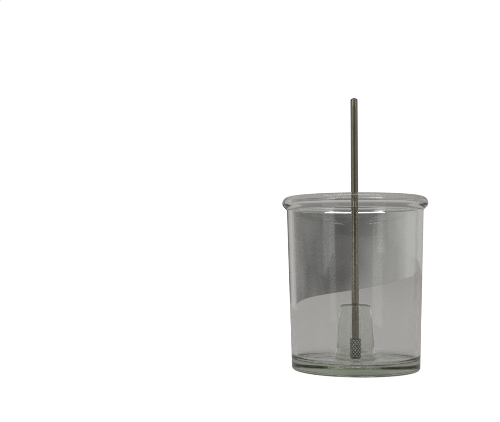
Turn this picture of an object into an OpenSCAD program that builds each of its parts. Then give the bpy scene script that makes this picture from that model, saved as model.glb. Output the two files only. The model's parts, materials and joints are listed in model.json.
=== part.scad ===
// Fuel sampler cup: a clear moulded cup with a tapered post in the middle, and a steel probe pressed
// into the post. Dimensions are in millimetres. The cup stands on z = 0 and its axis is the z axis.

/* [Cup] */
// Height of the cup from its underside to the crown of the rim
cup_h = 75.2; // [60:0.1:90]
// Outside diameter of the rim bead, 2.5 in
rim_d = 63.5; // [60:0.1:70]
// Outside diameter of the wall at the underside, before rounding
base_d = 55.4; // [50:0.1:58]
// Outside diameter of the wall just under the rim bead
neck_d = 59.5; // [56:0.1:62]
// Height at which that upper wall diameter is measured
neck_h = 69.2; // [60:0.1:80]
// Thickness of the wall
wall_t = 2; // [1.2:0.1:3]
// Thickness of the floor
floor_t = 4.7; // [3:0.1:6]
// Radius of the rounded outside corner at the underside
base_round = 1.4; // [0.4:0.1:2]
// Radius where the floor turns up into the wall, inside
floor_fillet = 2.2; // [0.5:0.1:4]

/* [Rim bead] */
// Radius of the rounded outer edge of the bead
bead_round = 2.9; // [2:0.1:3.2]
// Diameter of the circle along the very top of the rim
crown_d = 57; // [56.6:0.1:57.6]
// Angle above level at which the outer edge blends into the flatter crown
crown_angle = 62; // [45:1:75]
// Radius of the rounded edge under the bead
under_round = 2.2; // [1:0.1:2.6]
// Slope of the bead's underside, from level
under_angle = 45; // [30:1:60]
// Radius in the corner between the bead and the wall
neck_fillet = 0.4; // [0.2:0.1:1]
// Radius of the inner edge of the rim
lip_round = 0.6; // [0.3:0.1:0.8]

/* [Centre post] */
// Height of the post above the floor
post_h = 23.3; // [15:0.1:30]
// Diameter of the post at its top, before rounding
post_top_d = 13.2; // [10:0.1:16]
// Diameter of the post at the floor, before the fillet
post_foot_d = 17.3; // [12:0.1:22]
// Radius of the rounded top edge of the post
post_round = 1; // [0.4:0.1:2]
// Radius of the fillet round the foot of the post
post_fillet = 1; // [0.4:0.1:2]

/* [Probe] */
// Diameter of the probe, 1/8 in
probe_d = 3.175; // [2.5:0.005:4]
// Overall length of the probe, 4.5 in
probe_len = 114.3; // [90:0.1:140]
// Height of the domed tip
tip_dome = 0.8; // [0.3:0.1:1.5]
// Height of the knurled end above the bottom of the bore
knurl_len = 8.7; // [5:0.1:15]
// Diameter over the knurl's points
knurl_d = 3.3; // [3.2:0.01:3.6]
// Diameter at the bottom of the knurl's grooves
knurl_root_d = 2.8; // [2.6:0.01:3.1]
// Number of diamonds round the knurl
knurl_count = 9; // [8:1:16]
// Number of diamonds along the knurl
knurl_rows = 5; // [3:1:8]
// Length of the plain stub below the knurl
stub_len = 0.4; // [0.2:0.1:1]
// Amount by which the gripped shank narrows in diameter from the top of the post to the knurl
shank_taper = 0.04; // [0.02:0.01:0.1]
// Clearance all round between the probe and the bore that stands for the pressed fit
bore_gap = 0.01; // [0.005:0.005:0.05]

/* [Hidden] */
$fn = 128;
// overlap that keeps joined or cut shapes from only just touching
eps = 0.01;
// height by which the cavity's cutter stands above the rim
cut_over = 1;

// wall
wall_draft = atan((neck_d - base_d) / 2 / neck_h);
inner_x0 = base_d / 2 - wall_t / cos(wall_draft);

// rim bead: arc centres and radii in the half section
bead_x = rim_d / 2 - bead_round;
crown_shift = (bead_x - crown_d / 2) / cos(crown_angle);
crown_round = bead_round + crown_shift;
crown_z = cup_h - crown_round;
crown_edge_x = bead_x + bead_round * cos(crown_angle);
bead_z = crown_z + crown_shift * sin(crown_angle);
under_x = rim_d / 2 - under_round;
under_edge_x = under_x + under_round * sin(under_angle);
under_edge_z = bead_z - under_round * cos(under_angle);
// where the sloping underside meets the wall
neck_drop = (under_edge_x - wall_x(under_edge_z)) * tan(under_angle)
    / (1 - tan(wall_draft) * tan(under_angle));
neck_z = under_edge_z - neck_drop;

// inner edge of the rim
lip_x = inner_x(cup_h - lip_round) + lip_round / cos(wall_draft);
lip_z = crown_z + sqrt(pow(crown_round - lip_round, 2) - pow(lip_x - crown_d / 2, 2));

// centre post
post_z = floor_t + post_h;
post_slope = atan((post_foot_d - post_top_d) / 2 / post_h);

// probe
probe_r = probe_d / 2;
shank_r = probe_r - shank_taper / 2;
knurl_r = knurl_d / 2;
knurl_root_r = knurl_root_d / 2;
knurl_z = floor_t + stub_len;
knurl_top_z = floor_t + knurl_len;
shank_len = post_z - knurl_top_z;
tip_z = floor_t + probe_len;
dome_r = (pow(probe_r, 2) + pow(tip_dome, 2)) / (2 * tip_dome);

// outside and inside radius of the wall at height z
function wall_x(z) = base_d / 2 + z * tan(wall_draft);
function inner_x(z) = inner_x0 + z * tan(wall_draft);
// unit vector at angle a in the half section
function along(a) = [cos(a), sin(a)];

// the sliver between a corner p and the arc of radius r that rounds it; the corner's two edges
// leave it at angles a1 and a2, with a2 the larger
module corner_sliver(p, a1, a2, r) {
    half = (a2 - a1) / 2;
    mid = (a1 + a2) / 2;
    difference() {
        polygon([
            p - eps * along(mid),
            p + r / tan(half) * along(a1),
            p + r / tan(half) * along(a2),
        ]);
        translate(p + r / sin(half) * along(mid)) circle(r = r);
    }
}

module bead_section() {
    translate([under_x, bead_z]) circle(r = under_round);
    intersection() {
        translate([bead_x, bead_z]) circle(r = bead_round);
        translate([0, bead_z]) square([rim_d / 2, bead_round]);
    }
    intersection() {
        translate([crown_d / 2, crown_z]) circle(r = crown_round);
        translate([inner_x0, bead_z]) square([crown_edge_x - inner_x0, cup_h - bead_z]);
    }
    polygon([
        [inner_x0, neck_z],
        [wall_x(neck_z), neck_z],
        [under_edge_x, under_edge_z],
        [under_x, bead_z],
        [inner_x0, bead_z],
    ]);
}

module cup_section() {
    difference() {
        union() {
            polygon([[0, 0], [base_d / 2, 0], [wall_x(neck_z), neck_z], [0, neck_z]]);
            bead_section();
            corner_sliver([wall_x(neck_z), neck_z], -90 - wall_draft, under_angle, neck_fillet);
        }
        // cavity
        polygon([
            [-eps, floor_t],
            [inner_x(floor_t), floor_t],
            [inner_x(cup_h + cut_over), cup_h + cut_over],
            [-eps, cup_h + cut_over],
        ]);
        corner_sliver([base_d / 2, 0], 90 - wall_draft, 180, base_round);
        // rounded inner edge of the rim
        difference() {
            translate([lip_x - 2 * lip_round, lip_z]) square([2 * lip_round, lip_round + eps]);
            translate([lip_x, lip_z]) circle(r = lip_round);
        }
    }
    corner_sliver([inner_x(floor_t), floor_t], 90 - wall_draft, 180, floor_fillet);
}

module post_section() {
    difference() {
        polygon([
            [0, floor_t - eps],
            [post_foot_d / 2, floor_t - eps],
            [post_foot_d / 2, floor_t],
            [post_top_d / 2, post_z],
            [0, post_z],
        ]);
        corner_sliver([post_top_d / 2, post_z], 180, 270 + post_slope, post_round);
    }
    corner_sliver([post_foot_d / 2, floor_t], 0, 90 + post_slope, post_fillet);
}

// moulded in one piece: floor, wall, rim bead and centre post, with the bore that grips the probe;
// the bore's cutter keeps its taper to twice the length of the shank, so it opens the post's top
module cup() {
    color([0.86, 0.89, 0.87, 0.3])
    difference() {
        rotate_extrude() {
            cup_section();
            post_section();
        }
        translate([0, 0, floor_t]) cylinder(h = knurl_len + bore_gap, r = knurl_r + bore_gap);
        translate([0, 0, knurl_top_z])
            cylinder(h = 2 * shank_len, r1 = shank_r + bore_gap, r2 = shank_r + bore_gap + shank_taper);
    }
}

// diamond knurl: rings of points that alternate between the tip of a diamond and a groove crossing
module knurl() {
    sides = 2 * knurl_count;
    rings = 2 * knurl_rows;
    step = (knurl_top_z - knurl_z) / rings;
    points = [
        for (j = [0:rings], i = [0:sides - 1])
            let (plain = j == 0 || j == rings, r = !plain && (i + j) % 2 == 0 ? knurl_r : knurl_root_r)
            [r * cos(i * 360 / sides), r * sin(i * 360 / sides), knurl_z + j * step]
    ];
    faces = [
        for (j = [0:rings - 1], i = [0:sides - 1])
            let (
                a = j * sides + i,
                b = j * sides + (i + 1) % sides,
                d = a + sides,
                c = b + sides
            )
            each (i + j) % 2 == 0 ? [[a, d, b], [b, d, c]] : [[a, d, c], [a, c, b]]
    ];
    bottom = [for (i = [0:sides - 1]) i];
    top = [for (i = [sides - 1:-1:0]) rings * sides + i];
    polyhedron(points = points, faces = concat(faces, [bottom, top]));
}

// steel probe: knurled end and shank in the post, then the plain pin with its domed tip
module probe_pin() {
    color([0.55, 0.54, 0.5]) {
        translate([0, 0, floor_t]) cylinder(h = stub_len + eps, r = knurl_root_r - eps);
        knurl();
        translate([0, 0, knurl_top_z]) cylinder(h = shank_len, r1 = shank_r, r2 = probe_r);
        translate([0, 0, post_z]) cylinder(h = tip_z - tip_dome - post_z, r = probe_r);
        rotate_extrude() intersection() {
            translate([0, tip_z - dome_r]) circle(r = dome_r);
            translate([0, tip_z - tip_dome]) square([probe_r, tip_dome]);
        }
    }
}

cup();
probe_pin();
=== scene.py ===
import json
import math

import bmesh
import bpy
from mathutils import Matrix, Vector


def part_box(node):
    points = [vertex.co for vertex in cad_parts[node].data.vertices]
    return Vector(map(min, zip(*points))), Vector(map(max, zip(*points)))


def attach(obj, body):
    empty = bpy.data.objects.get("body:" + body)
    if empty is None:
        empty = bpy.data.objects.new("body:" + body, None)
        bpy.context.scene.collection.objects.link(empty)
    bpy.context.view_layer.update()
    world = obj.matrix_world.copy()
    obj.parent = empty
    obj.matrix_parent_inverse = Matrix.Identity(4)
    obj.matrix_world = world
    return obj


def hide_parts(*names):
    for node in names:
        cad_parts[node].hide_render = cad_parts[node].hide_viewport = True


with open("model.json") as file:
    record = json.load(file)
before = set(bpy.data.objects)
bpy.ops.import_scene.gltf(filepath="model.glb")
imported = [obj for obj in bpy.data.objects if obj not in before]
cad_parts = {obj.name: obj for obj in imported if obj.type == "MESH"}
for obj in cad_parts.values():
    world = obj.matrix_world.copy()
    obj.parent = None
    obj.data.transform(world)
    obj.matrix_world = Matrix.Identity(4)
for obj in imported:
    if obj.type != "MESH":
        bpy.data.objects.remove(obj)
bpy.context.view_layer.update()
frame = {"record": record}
scene = bpy.context.scene
MM = 0.001

# ---------------------------------------------------------------- camera
# It stands in front of the cup, a little to the left of it and below the rim, and looks slightly up.
CAMERA_PLACE = (-0.0460, -0.3865, 0.0496)
CAMERA_PITCH = 2.87

camera_data = bpy.data.cameras.new("camera")
camera_data.sensor_width = 36.0
camera_data.lens = 63.4
camera_data.clip_start = 0.01
camera = bpy.data.objects.new("camera", camera_data)
scene.collection.objects.link(camera)
camera.location = CAMERA_PLACE
camera.rotation_euler = (math.radians(90 + CAMERA_PITCH), 0.0, 0.0)
scene.camera = camera

# ---------------------------------------------------------------- dimensions
# Lengths are in mm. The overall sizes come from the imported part, and the others repeat its source.
cup_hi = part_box("cup")[1]
pin_lo, pin_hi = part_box("probe_pin")
RIM_R = cup_hi.x / MM
CUP_H = cup_hi.z / MM
TIP_Z = pin_hi.z / MM
FLOOR_Z = pin_lo.z / MM
PROBE_R = next(m for m in frame["record"]["mounts"] if m["name"] == "probe_tip")["dims"]["r_mm"]

# wall and floor
BASE_R = 27.7
NECK_R = 29.75
NECK_H = 69.2
WALL = 2.0
BASE_ROUND = 1.4
FLOOR_FILLET = 2.2

# rim bead
BEAD_ROUND = 2.9
CROWN_R = 28.5
CROWN_ANGLE = math.radians(62)
UNDER_ROUND = 2.2
NECK_FILLET = 0.4
LIP_ROUND = 0.6

# centre post; a thin film of air lies between its bore and the shank of the probe
POST_TOP_R = 6.6
POST_FOOT_R = 8.65
POST_H = 23.3
POST_ROUND = 1.0
POST_FILLET = 1.0
POST_TOP = FLOOR_Z + POST_H
BORE_R = 1.60
BORE_EDGE = 0.12

# probe
SHANK_R = 1.56
SHANK_EDGE = 0.02
TIP_DOME = 0.8
TIP_EDGE = 0.03
STUB = 0.4
STUB_CHAMFER = 0.25
KNURL_Z = FLOOR_Z + STUB
KNURL_TOP = FLOOR_Z + 8.7
KNURL_TIP_R = 1.65
KNURL_ROOT_R = 1.40
KNURL_COUNT = 9
KNURL_ROWS = 5
KNURL_PITCH = (KNURL_TOP - KNURL_Z) / KNURL_ROWS
# share of a diamond's full height at which its point is worn flat
KNURL_WORN = 0.62
# share of a diamond's length over which the knurl fades in at each end
KNURL_FADE = 0.25

# mesh density, and the edge angles in degrees above which shading is sharp
CUP_SIDES = 288
CUP_SHARP = 30
PROBE_SIDES = 240
PROBE_SHARP = 40
KNURL_RINGS = 100
PIN_RUNS = 24
LONG_RUN = 1.2
LONGEST_RUN = 4.0
END_STEP = 0.15
TINY = 1e-6


# ---------------------------------------------------------------- outlines, in mm in the (r, z) half plane
def arc(cx, cz, r, a0, a1, n):
    """Points in n equal steps along the arc from angle a0 to angle a1."""
    angles = [a0 + (a1 - a0) * i / n for i in range(n + 1)]
    return [(cx + r * math.cos(a), cz + r * math.sin(a)) for a in angles]


def rounded(p, d1, d2, r, n):
    """Points of the arc of radius r that rounds corner p, whose edges leave it along d1 and d2.

    They run from the edge along d1 to the edge along d2.
    """
    half = math.acos(max(-1.0, min(1.0, d1.dot(d2)))) / 2
    reach = r / math.tan(half)
    centre = p + (d1 + d2).normalized() * (r / math.sin(half))
    t1 = p + d1 * reach
    t2 = p + d2 * reach
    a1 = math.atan2(t1.y - centre.y, t1.x - centre.x)
    a2 = math.atan2(t2.y - centre.y, t2.x - centre.x)
    while a2 - a1 > math.pi:
        a2 -= 2 * math.pi
    while a2 - a1 < -math.pi:
        a2 += 2 * math.pi
    return arc(centre.x, centre.y, r, a1, a2, n)


def refine(points):
    """Splits long straight runs, with a short step at each end so that shading stays flat up to the arcs."""
    out = [points[0]]
    for a, b in zip(points, points[1:]):
        length = math.hypot(b[0] - a[0], b[1] - a[1])
        if length > LONG_RUN:
            n = max(1, math.ceil(length / LONGEST_RUN))
            shares = [END_STEP / length] + [i / n for i in range(1, n)] + [1 - END_STEP / length]
            out += [(a[0] + (b[0] - a[0]) * t, a[1] + (b[1] - a[1]) * t) for t in shares]
        if length > TINY:
            out.append(b)
    return out


def cup_outline():
    """From the middle of the underside, up the outside, over the rim, down to the floor and into the bore."""
    draft = math.atan((NECK_R - BASE_R) / NECK_H)
    tan = math.tan(draft)
    inner0 = BASE_R - WALL / math.cos(draft)
    up = Vector((math.sin(draft), math.cos(draft)))
    left = Vector((-1, 0))
    right = Vector((1, 0))
    down = Vector((0, -1))

    bead_x = RIM_R - BEAD_ROUND
    shift = (bead_x - CROWN_R) / math.cos(CROWN_ANGLE)
    crown_round = BEAD_ROUND + shift
    crown_z = CUP_H - crown_round
    bead_z = crown_z + shift * math.sin(CROWN_ANGLE)
    # the underside of the bead slopes at 45 degrees down to the wall
    under_x = RIM_R - UNDER_ROUND
    diagonal = math.sqrt(0.5)
    edge_x = under_x + UNDER_ROUND * diagonal
    edge_z = bead_z - UNDER_ROUND * diagonal
    drop = (edge_x - BASE_R - edge_z * tan) / (1 - tan)
    neck = Vector((BASE_R + (edge_z - drop) * tan, edge_z - drop))

    lip_x = inner0 + (CUP_H - LIP_ROUND) * tan + LIP_ROUND / math.cos(draft)
    lip_z = crown_z + math.sqrt((crown_round - LIP_ROUND) ** 2 - (lip_x - CROWN_R) ** 2)
    lip_meet = math.atan2(lip_z - crown_z, lip_x - CROWN_R)
    side = Vector((POST_TOP_R - POST_FOOT_R, POST_H)).normalized()

    points = [(0, 0)]
    points += rounded(Vector((BASE_R, 0)), left, up, BASE_ROUND, 10)
    points += rounded(neck, -up, Vector((diagonal, diagonal)), NECK_FILLET, 6)
    points += arc(under_x, bead_z, UNDER_ROUND, -math.pi / 4, 0, 8)
    points += arc(bead_x, bead_z, BEAD_ROUND, 0, CROWN_ANGLE, 12)[1:]
    points += arc(CROWN_R, crown_z, crown_round, CROWN_ANGLE, lip_meet, 6)[1:]
    points += arc(lip_x, lip_z, LIP_ROUND, lip_meet, math.pi - draft, 8)[1:]
    points += rounded(Vector((inner0 + FLOOR_Z * tan, FLOOR_Z)), up, left, FLOOR_FILLET, 12)
    points += rounded(Vector((POST_FOOT_R, FLOOR_Z)), right, side, POST_FILLET, 8)
    points += rounded(Vector((POST_TOP_R, POST_TOP)), -side, left, POST_ROUND, 8)
    points += rounded(Vector((BORE_R, POST_TOP)), right, down, BORE_EDGE, 3)
    # the plastic is pushed into the knurl's grooves, so the bore is only open above the knurl
    points += [(BORE_R, KNURL_TOP), (0, KNURL_TOP)]
    return refine([(float(x), float(z)) for x, z in points])


# ---------------------------------------------------------------- meshes
def mesh_object(name, bm, sharp):
    bmesh.ops.recalc_face_normals(bm, faces=bm.faces)
    mesh = bpy.data.meshes.new(name)
    bm.to_mesh(mesh)
    bm.free()
    for polygon in mesh.polygons:
        polygon.use_smooth = True
    mesh.set_sharp_from_angle(angle=math.radians(sharp))
    piece = bpy.data.objects.new(name, mesh)
    scene.collection.objects.link(piece)
    return piece


def ring(bm, r, z, n):
    """A ring of n points, or a single point on the axis."""
    if r < TINY:
        return [bm.verts.new((0, 0, z * MM))]
    angles = [2 * math.pi * i / n for i in range(n)]
    return [bm.verts.new((r * MM * math.cos(a), r * MM * math.sin(a), z * MM)) for a in angles]


def bridge(bm, a, b):
    n = max(len(a), len(b))
    for i in range(n):
        j = (i + 1) % n
        if len(a) == 1:
            bm.faces.new((a[0], b[j], b[i]))
        elif len(b) == 1:
            bm.faces.new((a[i], a[j], b[0]))
        else:
            bm.faces.new((a[i], a[j], b[j], b[i]))


def skin(bm, rings):
    for a, b in zip(rings, rings[1:]):
        bridge(bm, a, b)


def lathe(name, outline, n, sharp):
    bm = bmesh.new()
    skin(bm, [ring(bm, r, z, n) for r, z in outline])
    return mesh_object(name, bm, sharp)


def knurl_ring(bm, k, n):
    """Ring k of the knurl, where two sets of grooves cross."""
    z = KNURL_Z + (KNURL_TOP - KNURL_Z) * k / KNURL_RINGS
    rise = (z - KNURL_Z) / KNURL_PITCH
    fade = min(1.0, min(k, KNURL_RINGS - k) / (KNURL_FADE * KNURL_RINGS / KNURL_ROWS))
    verts = []
    for i in range(n):
        turn = KNURL_COUNT * i / n
        u = (turn + rise + 0.5) % 1.0
        v = (turn - rise + 0.5) % 1.0
        height = min(KNURL_WORN, abs(2 * u - 1), abs(2 * v - 1)) / KNURL_WORN
        r = KNURL_ROOT_R + (KNURL_TIP_R - KNURL_ROOT_R) * height * fade
        a = 2 * math.pi * i / n
        verts.append(bm.verts.new((r * MM * math.cos(a), r * MM * math.sin(a), z * MM)))
    return verts


def probe_mesh(name):
    """The whole probe as one closed skin: stub, knurl, shank, pin and domed tip."""
    stub = [
        (0, FLOOR_Z),
        (KNURL_ROOT_R - STUB_CHAMFER, FLOOR_Z),
        (KNURL_ROOT_R - 0.03, FLOOR_Z + STUB / 2),
    ]
    shank = [
        (SHANK_R - SHANK_EDGE, KNURL_TOP + 0.05),
        (SHANK_R, KNURL_TOP + 0.15),
        (SHANK_R, POST_TOP - 0.1),
        (PROBE_R, POST_TOP + 0.02),
    ]
    straight = TIP_Z - TIP_DOME
    pin = [(PROBE_R, POST_TOP + (straight - POST_TOP) * i / PIN_RUNS) for i in range(1, PIN_RUNS)]
    edge = [(PROBE_R, straight - 0.12), (PROBE_R - TIP_EDGE, straight + 0.02)]
    dome_r = (PROBE_R ** 2 + TIP_DOME ** 2) / (2 * TIP_DOME)
    start = math.asin((dome_r - TIP_DOME) / dome_r)
    dome = arc(0, TIP_Z - dome_r, dome_r, start, math.pi / 2, 10)[1:]

    bm = bmesh.new()
    rings = [ring(bm, r, z, PROBE_SIDES) for r, z in stub]
    rings += [knurl_ring(bm, k, PROBE_SIDES) for k in range(KNURL_RINGS + 1)]
    rings += [ring(bm, r, z, PROBE_SIDES) for r, z in shank + pin + edge + dome]
    skin(bm, rings)
    return mesh_object(name, bm, PROBE_SHARP)


# ---------------------------------------------------------------- material helpers
def material(name):
    m = bpy.data.materials.new(name)
    m.use_nodes = True
    return m, m.node_tree, m.node_tree.nodes["Principled BSDF"]


def add(tree, kind, **inputs):
    node = tree.nodes.new(kind)
    for key, value in inputs.items():
        node.inputs[key].default_value = value
    return node


def coords(tree, scale):
    """Object coordinates, in metres, stretched by scale."""
    source = tree.nodes.new("ShaderNodeTexCoord")
    mapping = add(tree, "ShaderNodeMapping", Scale=scale)
    tree.links.new(source.outputs["Object"], mapping.inputs["Vector"])
    return mapping.outputs["Vector"]


def noise(tree, scale, size, detail, roughness):
    node = add(tree, "ShaderNodeTexNoise", Scale=size, Detail=detail, Roughness=roughness)
    tree.links.new(coords(tree, scale), node.inputs["Vector"])
    return node.outputs["Fac"]


def spread(tree, value, low, high, to_low, to_high):
    """Maps low..high onto to_low..to_high and holds it at the ends."""
    node = tree.nodes.new("ShaderNodeMapRange")
    for key, number in zip(("From Min", "From Max", "To Min", "To Max"), (low, high, to_low, to_high)):
        node.inputs[key].default_value = number
    tree.links.new(value, node.inputs["Value"])
    return node.outputs["Result"]


def bump(tree, height, strength, distance):
    node = add(tree, "ShaderNodeBump", Strength=strength, Distance=distance)
    tree.links.new(height, node.inputs["Height"])
    return node.outputs["Normal"]


def mixed(tree, factor, a, b):
    """Mixes two colours, each given as a plain colour or as a socket."""
    node = tree.nodes.new("ShaderNodeMix")
    node.data_type = "RGBA"
    tree.links.new(factor, node.inputs["Factor"])
    for key, value in (("A", a), ("B", b)):
        if isinstance(value, tuple):
            node.inputs[key].default_value = value
        else:
            tree.links.new(value, node.inputs[key])
    return node.outputs["Result"]


# ---------------------------------------------------------------- materials
def clear_plastic():
    """Clear moulded plastic with fine scuffs, slight flow ripples and a faint green grey tint in depth."""
    m, tree, shader = material("clear_moulded_plastic")
    shader.inputs["Base Color"].default_value = (0.97, 0.98, 0.97, 1)
    shader.inputs["Transmission Weight"].default_value = 1.0
    shader.inputs["IOR"].default_value = 1.49
    scuff = noise(tree, (1, 1, 1), 260.0, 6.0, 0.7)
    tree.links.new(spread(tree, scuff, 0.55, 0.8, 0.012, 0.03), shader.inputs["Roughness"])
    flow = noise(tree, (1, 1, 0.45), 55.0, 2.0, 0.4)
    tree.links.new(bump(tree, flow, 0.10, 0.00007), shader.inputs["Normal"])
    volume = add(tree, "ShaderNodeVolumeAbsorption", Color=(0.40, 0.47, 0.32, 1), Density=24.0)
    tree.links.new(volume.outputs["Volume"], tree.nodes["Material Output"].inputs["Volume"])
    return m


def steel_tone(tree):
    """Drawn steel, with light and dark lines along its length."""
    ramp = tree.nodes.new("ShaderNodeValToRGB")
    dark, light = ramp.color_ramp.elements
    dark.color = (0.19, 0.173, 0.123, 1)
    light.color = (0.33, 0.308, 0.239, 1)
    dark.position = 0.35
    light.position = 0.7
    tree.links.new(noise(tree, (1, 1, 0.02), 900.0, 4.0, 0.6), ramp.inputs["Fac"])
    return ramp.outputs["Color"]


def knurl_painted_shade_and_highlight(tree):
    """Painted shade darkens the grooves of the knurl and a painted highlight lightens its points, both set by
    the distance from the axis.
    """
    radius = tree.nodes.new("ShaderNodeVectorMath")
    radius.operation = "LENGTH"
    tree.links.new(coords(tree, (1, 1, 0)), radius.inputs[0])
    groove_r = (KNURL_ROOT_R + 0.07) * MM
    point_r = (KNURL_TIP_R - 0.07) * MM
    height = spread(tree, radius.outputs["Value"], groove_r, point_r, 0.0, 1.0)
    # the near-black groove colour is painted shade and the near-white point colour is a painted highlight
    return mixed(tree, height, (0.02, 0.02, 0.015, 1), (1.0, 0.99, 0.93, 1))


def drawn_steel():
    m, tree, shader = material("drawn_steel")
    shader.inputs["Anisotropic"].default_value = 0.4
    place = tree.nodes.new("ShaderNodeSeparateXYZ")
    tree.links.new(coords(tree, (1, 1, 1)), place.inputs["Vector"])
    knurled = spread(tree, place.outputs["Z"], KNURL_TOP * MM, (KNURL_TOP + 0.05) * MM, 1.0, 0.0)
    # in the knurl the base colour carries painted shade in the grooves and a painted highlight on the points,
    # and less metal lets the white points show bright
    tree.links.new(mixed(tree, knurled, steel_tone(tree), knurl_painted_shade_and_highlight(tree)), shader.inputs["Base Color"])
    tree.links.new(spread(tree, knurled, 0.0, 1.0, 1.0, 0.25), shader.inputs["Metallic"])
    handling = noise(tree, (1, 1, 0.3), 420.0, 5.0, 0.65)
    tree.links.new(spread(tree, handling, 0.35, 0.75, 0.16, 0.30), shader.inputs["Roughness"])
    grain = noise(tree, (1, 1, 0.012), 2600.0, 3.0, 0.6)
    tree.links.new(bump(tree, grain, 0.25, 0.00003), shader.inputs["Normal"])
    return m


def matt(name, base, glow, strength):
    m, _, shader = material(name)
    shader.inputs["Base Color"].default_value = base
    shader.inputs["Roughness"].default_value = 0.9
    shader.inputs["Emission Color"].default_value = glow
    shader.inputs["Emission Strength"].default_value = strength
    return m


# ---------------------------------------------------------------- pieces
cup = lathe("cup_body", cup_outline(), CUP_SIDES, CUP_SHARP)
cup.data.materials.append(clear_plastic())
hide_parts("cup")
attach(cup, "root")

probe = probe_mesh("probe")
probe.data.materials.append(drawn_steel())
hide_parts("probe_pin")
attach(probe, "root")

# ---------------------------------------------------------------- stage
# Both surfaces lie just under the cup, and their lengths are in mm.
STAGE_Z = -0.25
STAGE_SIDES = 128
STAGE_SHARP = 60
FLOOR_R = 2200
SWEEP_R = 900
BACKDROP_TOP = 3200
# The table's far edge runs askew behind the cup.
TABLE = [(-1108, -1500), (357, 1381), (1500, 1381), (1500, -1500)]


def backdrop_outline():
    """A flat floor that curves up into an upright backdrop all round."""
    flat = [(0, 0), (1200, 0), (FLOOR_R, 0)]
    bend = arc(FLOOR_R, SWEEP_R, SWEEP_R, -math.pi / 2, 0, 12)[1:]
    outline = flat + bend + [(FLOOR_R + SWEEP_R, BACKDROP_TOP)]
    return [(r, z + STAGE_Z) for r, z in outline]


def slab(name, corners, z):
    bm = bmesh.new()
    bm.faces.new([bm.verts.new((x * MM, y * MM, z * MM)) for x, y in corners])
    return mesh_object(name, bm, STAGE_SHARP)


# What the camera sees directly: a pale floor and backdrop.
floor = lathe("floor", backdrop_outline(), STAGE_SIDES, STAGE_SHARP)
floor.data.materials.append(matt("floor", (0.93, 0.93, 0.93, 1), (1, 1, 1, 1), 0.80))
floor.visible_transmission = False
floor.visible_glossy = False
floor.visible_diffuse = False
floor.visible_shadow = False

# What shows through the plastic and in the steel: a grey table, with the darker room behind it.
table = slab("table", TABLE, STAGE_Z)
table.data.materials.append(matt("table", (0.40, 0.38, 0.38, 1), (1, 0.95, 0.95, 1), 0.21))
table.visible_camera = False
table.visible_diffuse = False
table.visible_shadow = False

# ---------------------------------------------------------------- lights
LIGHTS_AIM = Vector((0, 0, 0.05))


def softbox(name, place, width, height, watts):
    data = bpy.data.lights.new(name, "AREA")
    data.energy = watts
    data.shape = "RECTANGLE"
    data.size = width
    data.size_y = height
    light = bpy.data.objects.new(name, data)
    scene.collection.objects.link(light)
    light.location = place
    light.rotation_euler = (LIGHTS_AIM - Vector(place)).to_track_quat("-Z", "Y").to_euler()
    light.visible_camera = False


# the low strips make the stripes along the probe, the others light the rim and the post
softbox("strip_left", (-0.75, -0.60, 0.05), 0.34, 0.3, 0.22)
softbox("strip_right", (0.62, -0.80, 0.05), 0.22, 0.3, 0.13)
softbox("key_left", (-0.76, -0.64, 0.52), 0.55, 0.4, 0.7)
softbox("fill_right", (0.62, -0.80, 0.52), 0.40, 0.4, 0.4)
softbox("top", (-0.02, -0.10, 1.25), 1.3, 0.4, 4.2)

# ---------------------------------------------------------------- surroundings
# Light near the horizon and dimmer overhead, dimmed low down on the camera's side, and darker low
# down behind the cup, most of all to the left of a slanting edge.
HORIZON_LIGHT = 0.50
OVERHEAD_LIGHT = 0.22
FRONT_DIMMING = 0.68
LEFT_DIMMING = 0.78
RIGHT_DIMMING = 0.42
PATCHINESS = 0.35

world = bpy.data.worlds.new("world")
scene.world = world
world.use_nodes = True
sky = world.node_tree


def smooth(value, low, high, to_low=0.0, to_high=1.0):
    result = spread(sky, value, low, high, to_low, to_high)
    result.node.interpolation_type = "SMOOTHSTEP"
    return result


def calc(operation, a, b):
    node = sky.nodes.new("ShaderNodeMath")
    node.operation = operation
    for socket, value in zip(node.inputs, (a, b)):
        if isinstance(value, (int, float)):
            socket.default_value = value
        else:
            sky.links.new(value, socket)
    return node.outputs["Value"]


direction = sky.nodes.new("ShaderNodeTexCoord").outputs["Generated"]
axes = sky.nodes.new("ShaderNodeSeparateXYZ")
sky.links.new(direction, axes.inputs["Vector"])
across = axes.outputs["X"]
away = axes.outputs["Y"]
upward = axes.outputs["Z"]

height = smooth(upward, 0.15, 0.50, HORIZON_LIGHT, OVERHEAD_LIGHT)
front = calc("MULTIPLY", smooth(away, -0.55, -0.9), smooth(upward, 0.5, 0.1))
level = calc("MULTIPLY", height, calc("SUBTRACT", 1.0, calc("MULTIPLY", front, FRONT_DIMMING)))

behind = calc("MULTIPLY", smooth(away, 0.955, 0.985), smooth(upward, 0.16, 0.05))
edge = calc("SUBTRACT", calc("MULTIPLY", across, 0.857), calc("MULTIPLY", upward, 0.515))
patches = add(sky, "ShaderNodeTexNoise", Scale=22.0, Detail=1.0, Roughness=0.4)
sky.links.new(direction, patches.inputs["Vector"])
uneven = calc("MULTIPLY", calc("SUBTRACT", patches.outputs["Fac"], 0.5), PATCHINESS)
dark = calc("ADD", smooth(edge, 0.088, 0.150, LEFT_DIMMING, RIGHT_DIMMING), uneven)

strength = calc("MULTIPLY", level, calc("SUBTRACT", 1.0, calc("MULTIPLY", behind, dark)))
sky.nodes["Background"].inputs["Color"].default_value = (1, 0.97, 0.96, 1)
sky.links.new(strength, sky.nodes["Background"].inputs["Strength"])

# ---------------------------------------------------------------- picture
# Light passes many surfaces in the thick rim and the post, so it is followed for many bounces.
scene.view_settings.view_transform = "Standard"
scene.cycles.use_denoising = True
scene.cycles.denoising_prefilter = "FAST"
scene.cycles.filter_width = 1.0
scene.cycles.max_bounces = 32
scene.cycles.transmission_bounces = 32
scene.cycles.glossy_bounces = 8
